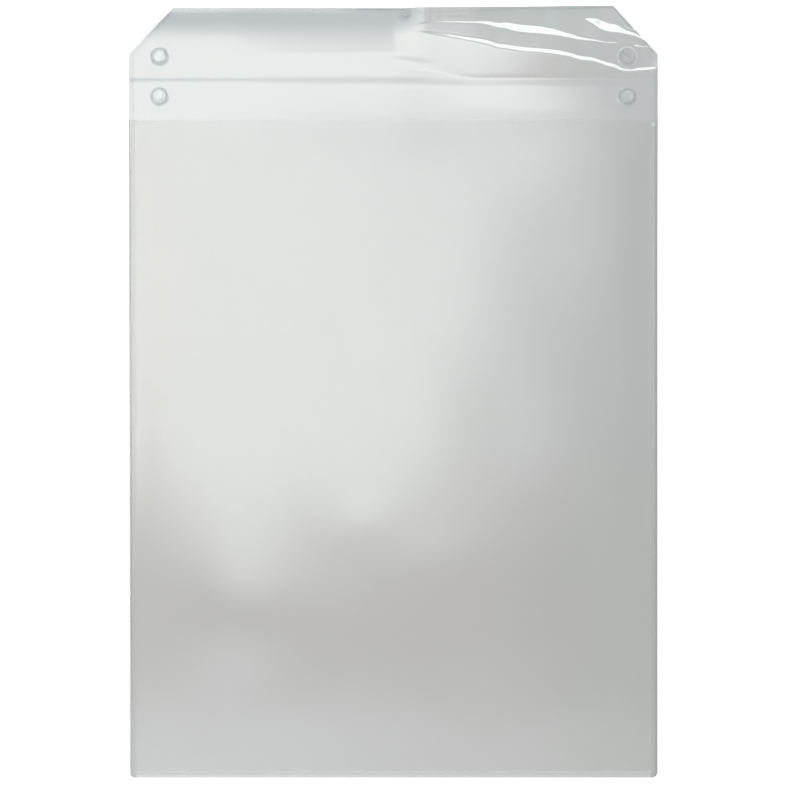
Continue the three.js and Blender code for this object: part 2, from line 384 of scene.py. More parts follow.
def folded_side(u, v):
    """Degrees of fall of the right side: a rise up to the lower fold, a slight fall beyond it and a steeper one
    beyond the corner facet."""
    below = at(u, LOWER_FOLD["line"], 1) - v
    past_corner = v - at(u, CORNER_FACET["line"], 1) - at(u, CORNER_FACET["half"], 1)
    rise = at(u, SIDE_RISE, 3) * smooth((v - at(u, SIDE_START, 4)) / SIDE_LENGTH)
    rise = rise * smooth((below - SIDE_STOP) / SIDE_STOP_LENGTH)
    beyond = at(u, SIDE_BEYOND, 4) + at(u, CORNER_BEYOND) * smooth(past_corner / CORNER_LENGTH)
    return -rise + beyond * smooth((-below - BEYOND_START) / BEYOND_LENGTH)


def rolled_side(u, v):
    """Degrees of fall of the left side: a faint rise, a roll down towards the free edge that steepens evenly,
    and a lip that lies level again."""
    rise = at(u, ROLL_RISE, 5) * smooth((v - FAINT_START) / FAINT_START_LENGTH)
    rise = rise * (1 - smooth((v - FAINT_STOP) / FAINT_STOP_LENGTH))
    roll = at(u, ROLL_FALL, 5) * np.clip((v - ROLL_START) / ROLL_LENGTH, 0, ROLL_MOST)
    lip = smooth((v - LIP_START) / LIP_LENGTH) * at(u, LIP_SHARE)
    return -rise + roll * (1 - lip) + at(u, LIP_FALL, 4) * lip


def flap_fall(u, v):
    """Degrees that the flap falls towards its free edge at each place: the rolled left side passing into the
    folded right side by a smooth step, wider and further left beside the fold, with the facets laid in."""
    low = smooth((LOW_END - v) / LOW_LENGTH)
    leaning = LEAN * np.clip(v - LEAN_START, 0, LEAN_LENGTH)
    share = smooth((u - CHANGE_START - leaning + LOW_SHIFT * low) / (CHANGE_WIDTH + LOW_WIDTH * low))
    fall = rolled_side(u, v) * (1 - share) + folded_side(u, v) * share
    for facet in FACETS:
        part = formed(u, v, facet)
        fall = fall * (1 - part) + facet["fall"] * part
    return fall


def flap_height(x, y):
    """Height in metres that the flap's folds add, levelled round the snaps, and that they hold the fold up.

    The fall's tangent is added up from the fold on straight lines across a fine table, which is then read
    between its four nearest entries."""
    across = np.arange(-HALF_WIDTH / MM, HALF_WIDTH / MM + 1, 2 * TABLE_STEP)
    along = np.arange(FOLDING_START, (TOP - FOLD) / MM + 1, TABLE_STEP)
    u, v = np.meshgrid(across, along)
    table = -np.cumsum(np.tan(np.radians(flap_fall(u, v))), axis=0) * TABLE_STEP * MM
    column = (x / MM - across[0]) / (2 * TABLE_STEP)
    row = np.clip((y - FOLD) / MM - FOLDING_START, 0, None) / TABLE_STEP
    i = np.clip(column.astype(int), 0, len(across) - 2)
    j = np.clip(row.astype(int), 0, len(along) - 2)
    s, t = column - i, row - j
    near = table[j, i] * (1 - s) + table[j, i + 1] * s
    beyond = table[j + 1, i] * (1 - s) + table[j + 1, i + 1] * s
    from_snap = np.hypot(np.abs(x) - SNAP_X, np.abs(y - FOLD) - SNAP_FROM_FOLD)
    folds = (near * (1 - t) + beyond * t) * smooth((from_snap - CAP_RADIUS) / FOLDS_FROM_CAP)
    held = at(x / MM, LIFT, 10) * MM * smooth((y - FOLD) / LIFT_REACH + 1)
    return folds + held * smooth((from_snap - CAP_RADIUS) / LIFT_FROM_CAP)


# The scored line of the fold, in millimetres: its depth across the width and the uneven share of that, its half
# width, the height of the lip beside it and how many half widths below it that lies, how much lower the line
# runs on the worn right half, and from where and over what length it gets lower
CREASE_DEPTH = ((-112, 0.08), (-68, 0.074), (-52, 0.05), (5, 0.044), (34, 0.026))
CREASE_UNEVEN = 0.07
CREASE_HALF = 1.6
CREASE_LIP = 0.03
CREASE_LIP_BELOW = 1.9
CREASE_DROP = 1.1
CREASE_DROP_START, CREASE_DROP_LENGTH = 5, 30

# A shallow groove above the middle of the fold, in millimetres: its depth, how far above the fold and how far
# left its middle lies, its half width and half length, and how much it falls to the right
GROOVE_DEPTH = 0.09
GROOVE_ABOVE = 7.4
GROOVE_LEFT = 1
GROOVE_HALF_WIDTH = 1.9
GROOVE_HALF_LENGTH = 12
GROOVE_SLANT = 0.12


def crease(x, y):
    """Height that the fold's scored line and the groove above it add: the line is a bell across, slightly
    uneven along, beside the bell of its lip; the groove is a bell across and along."""
    u, v = x / MM, (y - FOLD) / MM
    drop = CREASE_DROP * smooth((u - CREASE_DROP_START) / CREASE_DROP_LENGTH)
    t = (v + drop) / CREASE_HALF
    depth = at(u, CREASE_DEPTH, 8) * (1 + CREASE_UNEVEN * np.sin(u / 11) * np.sin(u / 4.3 + 1))
    across = bump((v - GROOVE_ABOVE + GROOVE_SLANT * u) / GROOVE_HALF_WIDTH)
    groove = GROOVE_DEPTH * across * bump((u + GROOVE_LEFT) / GROOVE_HALF_LENGTH)
    return (CREASE_LIP * bump(t + CREASE_LIP_BELOW) - depth * bump(t) - groove) * MM


def slow_waves(x, y, height):
    """Faint long waves of a film that doesn't lie quite flat: a sum of three slanting sines."""
    u, v = x / MM, y / MM
    waves = np.sin(u / 23 + v / 61) + 0.7 * np.sin(u / 41 - v / 37 + 1.3) + 0.5 * np.sin(v / 19 + u / 83)
    return height * waves / 2.2


# Length over which the film widens from the pocket's width to the full one, just below the mouth
MOUTH_STEP = 0.05 * MM


def half_width(y):
    """Half the film's width: the pocket's up to the mouth, the full width to the flap's cut corners, then less
    along them."""
    cut = np.clip((y - (TOP - CORNER_HEIGHT)) / CORNER_HEIGHT, 0, 1)
    return np.where(y < MOUTH - MOUTH_STEP / 2, POCKET_HALF, HALF_WIDTH - CORNER_WIDTH * cut)


# Low swells of the back film in millimetres: middle across and along, half width across and along, height
SWELLS = ((-62, -97, 24, 26, 0.42), (18, -76, 20, 15, 0.12), (-14, -58, 16, 14, 0.12))

# Heights of the faint waves, of the back film in millimetres and of the front film in metres
BACK_WAVE = 0.08
FRONT_WAVE = 0.15 * MM

# How far in from the edges the back film's sines and its swells are full, and the bow at which the front film's
# waves are
SINES_FROM_SIDE, SINES_FROM_BOTTOM = 14 * MM, 30 * MM
SWELLS_FROM_SIDE, SWELLS_FROM_BOTTOM = 4 * MM, 12 * MM
WAVES_FROM_MOUTH = 30 * MM
WAVES_FULL_BOW = 1.5 * MM


def back_waves(x, y):
    """Faint waves of the back film, none under the welds: two slanting sines and the swells."""
    u, v = x / MM, y / MM
    waves = np.sin(u / 9.5 + 0.7 * np.sin(v / 31)) * np.cos(v / 23 + 0.6) + 0.8 * np.sin(u / 19 - v / 17 + 1.1)
    from_side, from_bottom = POCKET_HALF - np.abs(x), y - POCKET_BOTTOM
    inside = smooth(from_side / SINES_FROM_SIDE) * smooth(from_bottom / SINES_FROM_BOTTOM)
    height = BACK_WAVE * (1 + waves / 1.8) * inside
    for middle_u, middle_v, across, along, rise in SWELLS:
        height = height + rise * bump((u - middle_u) / across) * bump((v - middle_v) / along)
    ends = smooth(from_side / SWELLS_FROM_SIDE) * smooth(from_bottom / SWELLS_FROM_BOTTOM)
    return height * MM * ends * smooth((MOUTH - y) / WAVES_FROM_MOUTH)


def make_sleeve_film():
    """The back film, the band and the flap, which are one sheet: rest, folds, crease and waves added up."""
    v = lines(
        (POCKET_BOTTOM, MOUTH - 20 * MM, 4 * MM),
        (MOUTH - 20 * MM, MOUTH - MOUTH_STEP, 2 * MM),
        (MOUTH - MOUTH_STEP, MOUTH, MOUTH_STEP),
        (MOUTH, FOLD - 5 * MM, 1.4 * MM),
        (FOLD - 5 * MM, FOLD + 1 * MM, 0.3 * MM),
        (FOLD + 1 * MM, TOP - 1 * MM, 0.32 * MM),
        (TOP - 1 * MM, TOP, 0.2 * MM),
    )
    u = lines(
        (-1, -0.992, 0.004),
        (-0.992, -0.96, 0.016),
        (-0.96, -0.8, 0.008),
        (-0.8, -0.1, 0.0175),
        (-0.1, 0.992, 0.0075),
        (0.992, 1, 0.004),
    )
    y = np.repeat(v[:, None], len(u), 1)
    x = u[None, :] * half_width(y)
    # rim: painted edge shade along the sides above the mouth and along the free edge
    rim = np.maximum(edge_shade_share(x - x[:, :1]), edge_shade_share(x - x[:, -1:])) * (y > MOUTH - MOUTH_STEP / 2)
    rim = np.maximum(rim, edge_shade_share(TOP - y))
    # Painted shade at the crumpled pinch, carried in the rim share
    from_pinch_shade = np.hypot(x / MM - PINCH_SHADE_MIDDLE[0], (y - FOLD) / MM - PINCH_SHADE_MIDDLE[1])
    rim = np.maximum(rim, PINCH_SHADE_STRENGTH * bump(from_pinch_shade / PINCH_SHADE_RADIUS))
    y = y - at(x / MM, FREE_EDGE) * MM * np.clip((y - FOLD) / (TOP - FOLD), 0, 1) ** 2
    under = film_rest(x, y) + flap_height(x, y) + crease(x, y) + back_waves(x, y)
    under = np.maximum(under, 0)
    return closed_sheet("sleeve_film", x, y, under, under + FILM, rim)


# Width of the finer grid along the front film's edges
FINE_EDGE = 1.2 * MM


def make_front_film():
    """The front film: a parabola from weld to weld, rising from the bottom weld by another, over the back
    film's rest and waves."""
    u = lines(
        (-POCKET_HALF, -POCKET_HALF + FINE_EDGE, 0.4 * MM),
        (-POCKET_HALF + FINE_EDGE, POCKET_HALF - FINE_EDGE, 2 * MM),
        (POCKET_HALF - FINE_EDGE, POCKET_HALF, 0.4 * MM),
    )
    v = lines(
        (POCKET_BOTTOM, MOUTH - 20 * MM, 2.5 * MM),
        (MOUTH - 20 * MM, MOUTH - FINE_EDGE, 1 * MM),
        (MOUTH - FINE_EDGE, MOUTH, 0.3 * MM),
    )
    x, y = np.meshgrid(u, v)
    sides = 1 - (x / POCKET_HALF) ** 2
    bottom = 1 - (1 - np.clip((y - POCKET_BOTTOM) / BOW_LENGTH, 0, 1)) ** 2
    bow = BOW * sides * bottom
    waves = slow_waves(x, y, FRONT_WAVE) * np.minimum(1, bow / WAVES_FULL_BOW)
    under = film_rest(x, y) + back_waves(x, y) + FILM + bow + waves
    # The mouth edge carries painted edge shade
    return closed_sheet("front_film", x, y, under, under + FILM, edge_shade_share(MOUTH - y))


# A weld's section: points across it; the bead's height as a share of the weld's, its middle and half width; and
# the outer edge's drop as a share of the height, where across the width it starts and its power
WELD_POINTS = 25
WELD_BEAD = 0.02
WELD_BEAD_MIDDLE, WELD_BEAD_HALF = 0.5, 0.14
WELD_DROP = 0.3
WELD_DROP_START = 0.66
WELD_DROP_POWER = 2.4


def weld_section(s):
    """Height of a weld's top over its width s from 0, inside, to 1, outside: flat, with a faint bead and a
    rounded outer edge."""
    bead = WELD_BEAD * bump((s - WELD_BEAD_MIDDLE) / WELD_BEAD_HALF)
    outer = np.clip((s - WELD_DROP_START) / (1 - WELD_DROP_START), 0, 1)
    return 2 * FILM * (1 + bead - WELD_DROP * outer**WELD_DROP_POWER)


# The lump of molten film at the right seam's upper end: its length, how long its ends take to rise, and how
# steeply its top climbs across the seam
LUMP_LENGTH = 3.2 * MM
LUMP_END = 0.8 * MM
LUMP_SLOPE = np.tan(np.radians(2.6))


def lump(x, y):
    """Height of the lump: a plane that climbs from the seam's inner edge, times a box with soft ends."""
    away = MOUTH - y
    climb = LUMP_SLOPE * np.clip(x - POCKET_HALF, 0, None)
    return climb * smooth(away / LUMP_END) * smooth((LUMP_LENGTH - away) / LUMP_END)


def make_side_weld(name, side):
    """A side seam: the weld section carried from the bottom to the mouth, its outer lower corner rounded by a
    circle. The right one ends in a small lump."""
    v = lines(
        (BOTTOM, BOTTOM + 4 * MM, 0.15 * MM),
        (BOTTOM + 4 * MM, MOUTH - 6 * MM, 2 * MM),
        (MOUTH - 6 * MM, MOUTH, 0.25 * MM),
    )
    s = np.linspace(0, 1, WELD_POINTS)
    if side < 0:
        s = s[::-1]
    y = np.repeat(v[:, None], len(s), 1)
    into = np.clip(BOTTOM_RADIUS - (y - BOTTOM), 0, BOTTOM_RADIUS)
    width = WELD - BOTTOM_RADIUS + np.sqrt(BOTTOM_RADIUS**2 - into**2)
    x = side * (POCKET_HALF + s[None, :] * width)
    under = film_rest(x, y)
    over = under + weld_section(s)[None, :] + lump(x, y)
    # rim: painted edge shade along the outer edge and at the mouth
    rim = np.maximum(edge_shade_share((1 - s[None, :]) * width), edge_shade_share(MOUTH - y))
    return closed_sheet(name, x, y, under, over, rim)


def make_bottom_weld():
    """The bottom seam: the same section carried from side to side."""
    u = lines((-POCKET_HALF, POCKET_HALF, 3 * MM))
    s = np.linspace(1, 0, WELD_POINTS)
    x = np.repeat(u[None, :], len(s), 0)
    y = np.repeat((POCKET_BOTTOM - s * (POCKET_BOTTOM - BOTTOM))[:, None], len(u), 1)
    over = np.repeat(weld_section(s)[:, None], len(u), 1)
    # The outer edge carries painted edge shade
    return closed_sheet("bottom_seam", x, y, np.zeros_like(x), over, edge_shade_share(y - BOTTOM))


# Snap radii and heights, as the solids have them
POST = 0.6 * MM
BORE = 0.9 * MM
HEAD = 1.15 * MM
HEAD_HEIGHT = 0.4 * MM
RECESS = 1.45 * MM
KNOB = 1.95 * MM
CAVITY = 2.35 * MM
BARREL = 3.6 * MM
FLANGE = 4.3 * MM
SEAT = 0.6 * MM
SHOULDER = 1.3 * MM

# How round the edges of the caps, of their posts' heads, of the studs and of the sockets are
CAP_ROUND = 0.55 * MM
HEAD_ROUND = 0.2 * MM
STUD_ROUND = 0.25 * MM
SOCKET_ROUND = 0.35 * MM

# The painted shade in the round wall of a snap, standing in for the dark ring that refraction gives there: its
# radius and half width, and how strong it is on the left and on the right, where less of the light overhead
# reaches it
WALL_RADIUS = BARREL - 0.35 * MM
WALL_HALF = 0.75 * MM
WALL_SHADE_LEFT, WALL_SHADE_RIGHT = 0.8, 0.4


def make_cap(name, x, y):
    """A snap cap: a disc with a full round rim, a slim post and its flattened end."""
    disc = [(0, 0), (CAP_RADIUS, 0), (CAP_RADIUS, CAP_THICKNESS), (POST, CAP_THICKNESS)]
    rim = rounded(disc, CAP_ROUND, 6)
    head = SNAP_BASE + SEAT
    post = [(POST, head), (HEAD, head)]
    end = rounded([(HEAD, head), (HEAD, head + HEAD_HEIGHT), (0, head + HEAD_HEIGHT)], HEAD_ROUND)
    return turned(name, rim + post + end[1:], (x, y, 0))


def ring(corners, radius):
    """A closed ring profile with every corner softened."""
    middle = tuple((np.array(corners[0]) + np.array(corners[-1])) / 2)
    return rounded([middle] + corners + [middle], radius)


def keep_wall_shade(piece, x, y):
    """Keeps for the finish where the round wall of the snap at x, y stands, as a share of painted shade: a bell
    round its radius.
    """
    points = np.empty(len(piece.data.vertices) * 3)
    piece.data.vertices.foreach_get("co", points)
    points = points.reshape(-1, 3)
    radius = np.hypot(points[:, 0] - x, points[:, 1] - y)
    wall = piece.data.attributes.new("wall", "FLOAT", "POINT")
    share = WALL_SHADE_LEFT if x < 0 else WALL_SHADE_RIGHT
    wall.data.foreach_set("value", share * bump((radius - WALL_RADIUS) / WALL_HALF))
    return piece


def make_stud(name, x, y):
    """A snap stud: flange, a steep cone round a flat shoulder, and a hollow knob with a swelling rim."""
    corners = [
        (BORE, 0),
        (FLANGE, 0),
        (FLANGE, 0.35 * MM),
        (BARREL + 0.4 * MM, 0.45 * MM),
        (BARREL - 0.2 * MM, 0.9 * MM),
        (BARREL - 0.75 * MM, SHOULDER),
        (KNOB + 0.15 * MM, SHOULDER - 0.1 * MM),
        (KNOB, STUD_HEIGHT - 0.4 * MM),
        (KNOB - 0.15 * MM, STUD_HEIGHT),
        (RECESS + 0.1 * MM, STUD_HEIGHT),
        (RECESS, SEAT),
        (BORE, SEAT),
    ]
    return keep_wall_shade(turned(name, ring(corners, STUD_ROUND), (x, y, SNAP_BASE)), x, y)


def make_socket(name, x, y):
    """A snap socket: flange and a cup whose wall leans in to a round lip."""
    corners = [
        (BORE, 0),
        (FLANGE, 0),
        (FLANGE, 0.45 * MM),
        (BARREL, SOCKET_HEIGHT - 0.5 * MM),
        (BARREL - 0.35 * MM, SOCKET_HEIGHT),
        (CAVITY + 0.35 * MM, SOCKET_HEIGHT),
        (CAVITY, SOCKET_HEIGHT - 0.7 * MM),
        (CAVITY, SEAT),
        (BORE, SEAT),
    ]
    return keep_wall_shade(turned(name, ring(corners, SOCKET_ROUND), (x, y, SNAP_BASE)), x, y)


# Finishes

WHITE = (1, 1, 1, 1)


def new_material(name):
    """An empty node material; returns it with its node tree and output."""
    material = bpy.data.materials.new(name)
    material.use_nodes = True
    tree = material.node_tree
    tree.nodes.clear()
    return material, tree, tree.nodes.new("ShaderNodeOutputMaterial")


def add_node(tree, kind, inputs):
    """A shader node with each of the given inputs set to a value or linked to a socket."""
    node = tree.nodes.new("ShaderNode" + kind)
    for name, value in inputs.items():
        if isinstance(value, bpy.types.NodeSocket):
            tree.links.new(value, node.inputs[name])
        else:
            node.inputs[name].default_value = value
    return node


def math_node(tree, operation, a, b=0.0):
    """A Math node over two sockets or numbers."""
    node = add_node(tree, "Math", {0: a, 1: b})
    node.operation = operation
    return node.outputs[0]


def times(tree, a, b):
    """The product of two sockets or numbers."""
    return math_node(tree, "MULTIPLY", a, b)


def minus(tree, a, b):
    """The difference of two sockets or numbers."""
    return math_node(tree, "SUBTRACT", a, b)


def mix_shaders(tree, share, first, second):
    """A mix of two shaders by the socket share."""
    return add_node(tree, "MixShader", {"Fac": share, 1: first, 2: second}).outputs[0]


def see_through(tree, colour=(1, 1, 1)):
    """An open shader that tints what is seen through it."""
    return add_node(tree, "BsdfTransparent", {"Color": (*colour, 1)}).outputs[0]


def stored(tree, name):
    """The value that the mesh keeps under a name."""
    node = add_node(tree, "Attribute", {})
    node.attribute_name = name
    return node.outputs["Fac"]


def clear_surface(tree, out, inner, mirror, ior):
    """Finishes a clear material. The face that a ray enters by mirrors a Fresnel share and passes the rest on
    to the shader inner; the face that it leaves by is open."""
    fresnel = add_node(tree, "Fresnel", {"IOR": ior})
    entering = mix_shaders(tree, fresnel.outputs[0], inner, mirror)
    side = add_node(tree, "NewGeometry", {})
    whole = mix_shaders(tree, side.outputs["Backfacing"], entering, see_through(tree))
    tree.links.new(whole, out.inputs["Surface"])


# The vinyl's uneven gloss: size of its smears and how much rougher they are
SMEAR_SIZE = 22.0
SMEAR_DEPTH = 0.05

# How strongly the film's ripple shows, and how rough its haze is
RELIEF = 0.35
HAZE_ROUGHNESS = 0.45


def vinyl_skin():
    """Shared group: the faint ripple of calendered vinyl as a height, and its uneven gloss as a roughness."""
    group = bpy.data.node_groups.new("vinyl_skin", "ShaderNodeTree")
    for name, kind, way in (
        ("Ripple size", "NodeSocketFloat", "INPUT"),
        ("Gloss", "NodeSocketFloat", "INPUT"),
        ("Height", "NodeSocketFloat", "OUTPUT"),
        ("Roughness", "NodeSocketFloat", "OUTPUT"),
    ):
        group.interface.new_socket(name, in_out=way, socket_type=kind)
    given, made = group.nodes.new("NodeGroupInput"), group.nodes.new("NodeGroupOutput")
    place = add_node(group, "TexCoord", {}).outputs["Object"]
    ripple_size = given.outputs["Ripple size"]
    ripple = add_node(group, "TexNoise", {"Vector": place, "Scale": ripple_size, "Detail": 2.0})
    group.links.new(ripple.outputs["Fac"], made.inputs["Height"])
    smear = add_node(group, "TexNoise", {"Vector": place, "Scale": SMEAR_SIZE, "Detail": 5.0})
    uneven = times(group, smear.outputs["Fac"], SMEAR_DEPTH)
    group.links.new(math_node(group, "ADD", uneven, given.outputs["Gloss"]), made.inputs["Roughness"])
    return group


def clear_film(name, finish, skin):
    """Thin clear vinyl: tinted and slightly hazy, with painted shade at the cut rim for the dark line that
    refraction gives there, behind a rippled mirror.
    """
    material, tree, out = new_material(name)
    surface = add_node(tree, "Group", {})
    surface.node_tree = skin
    surface.inputs["Ripple size"].default_value = finish["ripple"]
    surface.inputs["Gloss"].default_value = finish["gloss"]
    height, roughness = surface.outputs["Height"], surface.outputs["Roughness"]
    depth = finish["ripple_height"] * MM
    relief = add_node(tree, "Bump", {"Strength": RELIEF, "Distance": depth, "Height": height})
    normal = relief.outputs["Normal"]
    look = {"Base Color": (*finish["body"], 1), "Roughness": HAZE_ROUGHNESS, "Normal": normal}
    body = add_node(tree, "BsdfPrincipled", look)
    # Painted shade at the cut rim, laid over the haze
    edge_shade = times(tree, stored(tree, "rim"), finish["rim"])
    haze_and_edge_shade = math_node(tree, "ADD", edge_shade, finish["haze"])
    body_and_shade = mix_shaders(tree, haze_and_edge_shade, see_through(tree, finish["tint"]), body.outputs[0])
    mirror = add_node(tree, "BsdfGlossy", {"Color": WHITE, "Roughness": roughness, "Normal": normal})
    clear_surface(tree, out, body_and_shade, mirror.outputs[0], finish["ior"])
    return material


# The finishes of the film: the tint of what is seen through it, the colour of its haze, how dense that is all
# over, how strong the painted shade at the cut rim is, its roughness and refraction, and the size and height in
# mm of its ripple
GLOSSY_VINYL = {
    "tint": (0.993, 1.0, 0.997),
    "body": (0.52, 0.545, 0.55),
    "haze": 0.03,
    "rim": 0.85,
    "gloss": 0.05,
    "ior": 1.79,
    "ripple": 180.0,
    "ripple_height": 0.004,
}
SATIN_VINYL = {
    "tint": (0.965, 0.964, 0.96),
    "body": (0.68, 0.69, 0.68),
    "haze": 0.055,
    "rim": 0.1,
    "gloss": 0.3,
    "ior": 1.4,
    "ripple": 1300.0,
    "ripple_height": 0.006,
}
WELDED_VINYL = {
    "tint": (0.925, 0.93, 0.925),
    "body": (0.52, 0.54, 0.54),
    "haze": 0.08,
    "rim": 0.75,
    "gloss": 0.12,
    "ior": 1.74,
    "ripple": 1500.0,
    "ripple_height": 0.006,
}
# The bottom seam was pressed harder and came out clearer, with a milky body
PRESSED_VINYL = {
    **WELDED_VINYL,
    "tint": (0.985, 0.99, 0.985),
    "body": (0.84, 0.86, 0.86),
    "haze": 0.3,
    "rim": 0.55,
}

# The snaps' plastic: the tint of what is seen through it straight on, the painted shade seen through the round
# wall, the grey painted on its steep sides as their shade, its refraction, the size of its scuffs and their
# least and greatest roughness
SNAP_TINT = (0.992, 0.996, 0.996)
SNAP_WALL_SHADE = (0.53, 0.56, 0.57)
SNAP_STEEP_SHADE = (0.55, 0.58, 0.59)
SNAP_IOR = 1.5
SCUFF_SIZE = 700.0
SCUFF_ROUGHNESS = (0.08, 0.22)

# How the grey painted as shade comes in as the plastic turns steep: its blend, from and to which weight, and
# its greatest share
STEEP_BLEND = 0.35
STEEP_FROM, STEEP_TO = 0.03, 0.45
STEEP_SHADE_SHARE = 0.22


def clear_snap_plastic():
    """Hard clear plastic of the press studs: nearly open where it is seen straight on, with painted shade in
    the round wall and a grey painted where it is steep, both for the shade that refraction gives there, with
    scuffed gloss."""
    material, tree, out = new_material("clear_snap_plastic")
    place = add_node(tree, "TexCoord", {}).outputs["Object"]
    scuff = add_node(tree, "TexNoise", {"Vector": place, "Scale": SCUFF_SIZE}).outputs["Fac"]
    smooth_part, scuffed_part = SCUFF_ROUGHNESS
    rough = add_node(tree, "MapRange", {"Value": scuff, "To Min": smooth_part, "To Max": scuffed_part})
    roughness = rough.outputs["Result"]
    look = {"Base Color": (*SNAP_STEEP_SHADE, 1), "IOR": SNAP_IOR, "Roughness": roughness}
    body = add_node(tree, "BsdfPrincipled", look)
    # Painted shade on the steep sides: a grey body weighted by how steeply the plastic is seen
    steep = add_node(tree, "LayerWeight", {"Blend": STEEP_BLEND}).outputs["Facing"]
    fade = {"Value": steep, "From Min": STEEP_FROM, "From Max": STEEP_TO, "To Max": STEEP_SHADE_SHARE}
    steep_shade = add_node(tree, "MapRange", fade).outputs["Result"]
    straight_on, through_wall_shade = see_through(tree, SNAP_TINT), see_through(tree, SNAP_WALL_SHADE)
    # Painted shade seen through the round wall
    clear = mix_shaders(tree, stored(tree, "wall"), straight_on, through_wall_shade)
    body_and_shade = mix_shaders(tree, steep_shade, clear, body.outputs[0])
    mirror = add_node(tree, "BsdfGlossy", {"Color": WHITE, "Roughness": roughness})
    clear_surface(tree, out, body_and_shade, mirror.outputs[0], SNAP_IOR)
    return material


def finish_piece(piece, material, nodes):
    """Gives a piece its material and hides the solids that it stands for."""
    piece.data.materials.append(material)
    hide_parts(*nodes)


def make_sleeve():
    """All pieces of the sleeve, each but the sleeve film on its body."""
    skin = vinyl_skin()
    vinyl = clear_film("glossy_vinyl", GLOSSY_VINYL, skin)
    satin = clear_film("satin_vinyl", SATIN_VINYL, skin)
    welded = clear_film("welded_vinyl", WELDED_VINYL, skin)
    pressed = clear_film("pressed_vinyl", PRESSED_VINYL, skin)
    snap = clear_snap_plastic()

    sleeve_film = make_sleeve_film()
    finish_piece(sleeve_film, vinyl, ["back_panel", "flap_panel"])
    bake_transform(sleeve_film)

    front_film = make_front_film()
    finish_piece(front_film, satin, ["front_panel"])
    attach(front_film, "sleeve")

    for name, side in (("left", -1), ("right", 1)):
        seam = make_side_weld(name + "_seam", side)
        finish_piece(seam, welded, [name + "_side_weld"])
        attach(seam, "sleeve")
    bottom_seam = make_bottom_weld()
    finish_piece(bottom_seam, pressed, ["bottom_weld"])
    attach(bottom_seam, "sleeve")

    for name, side in (("left", -1), ("right", 1)):
        x = side * SNAP_X
        for body, place, y, maker, kind in (
            ("sleeve", "band", FOLD - SNAP_FROM_FOLD, make_stud, "stud"),
            ("flap", "flap", FOLD + SNAP_FROM_FOLD, make_socket, "socket"),
        ):
            cap = make_cap(f"{place}_cap_{name}", x, y)
            finish_piece(cap, snap, [f"{place}_snap_cap_{name}"])
            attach(cap, body)
            half = maker(f"{place}_{kind}_{name}", x, y)
            finish_piece(half, snap, [f"{place}_snap_{kind}_{name}"])
            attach(half, body)


# Faces that a ray may pass where the closed flap lies over the snaps and the pocket
CLEAR_LAYERS = 48

# Studio

TABLE_HALF = 6.0
TABLE_TOP = -0.2 * MM
TABLE_COLOUR = (0.65, 0.65, 0.65, 1)
TABLE_LIFT = 0.72  # what is added for the camera, so that the table shows white


def make_table():
    """A white table. The camera sees it white where nothing lies on it; through the sleeve it shows as lit."""
    mesh = bpy.data.meshes.new("table")
    corners = ((-1, -1), (1, -1), (1, 1), (-1, 1))
    mesh.from_pydata([(TABLE_HALF * x, TABLE_HALF * y, TABLE_TOP) for x, y in corners], [], [(0, 1, 2, 3)])
    table = bpy.data.objects.new("table", mesh)
    bpy.context.scene.collection.objects.link(table)
    material, tree, out = new_material("table")
    matt = add_node(tree, "BsdfDiffuse", {"Color": TABLE_COLOUR})
    ray = add_node(tree, "LightPath", {}).outputs
    direct = math_node(tree, "LESS_THAN", ray["Transparent Depth"], 0.5)
    seen = times(tree, ray["Is Camera Ray"], direct)
    mirrored = math_node(tree, "MAXIMUM", ray["Is Glossy Ray"], ray["Is Transmission Ray"])
    share = math_node(tree, "MAXIMUM", seen, mirrored)
    lift = add_node(tree, "Emission", {"Strength": times(tree, share, TABLE_LIFT)})
    both = add_node(tree, "AddShader", {0: matt.outputs[0], 1: lift.outputs[0]})
    tree.links.new(both.outputs[0], out.inputs["Surface"])
    mesh.materials.append(material)


def above_zero(tree, value):
    """A socket's value where it is above zero, else zero."""
    return math_node(tree, "MAXIMUM", value, 0.0)


def step_node(tree, value, start, end):
    """A smooth step of a socket from 0 at start to 1 at end."""
    node = tree.nodes.new("ShaderNodeMapRange")
    node.interpolation_type = "SMOOTHSTEP"
    node.inputs["From Min"].default_value = start
    node.inputs["From Max"].default_value = end
    tree.links.new(value, node.inputs["Value"])
    return node.outputs["Result"]


def falling_step(tree, value, start, end):
    """A smooth step of a socket from 1 at start to 0 at end."""
    return minus(tree, 1.0, step_node(tree, value, start, end))


# The Mix node's sockets for colours: the share, the two colours and the result
MIX_SHARE, MIX_LOW, MIX_HIGH, MIX_RESULT = 0, 6, 7, 2


def mix_colour(tree, share, low, high):
    """A mix of two colours, or of a colour socket and a colour, by the socket share."""
    node = tree.nodes.new("ShaderNodeMix")
    node.data_type = "RGBA"
    tree.links.new(share, node.inputs[MIX_SHARE])
    for socket, value in ((node.inputs[MIX_LOW], low), (node.inputs[MIX_HIGH], high)):
        if isinstance(value, tuple):
            socket.default_value = (*value, 1)
        else:
            tree.links.new(value, socket)
    return node.outputs[MIX_RESULT]


FILL = 0.47  # level of the light from all round

# The studio that the film mirrors. A place in it is given by two tangents from straight up: how far right and
# how far towards the far side. A pair is the start and end of a smooth step, or the start and slope of a lean.

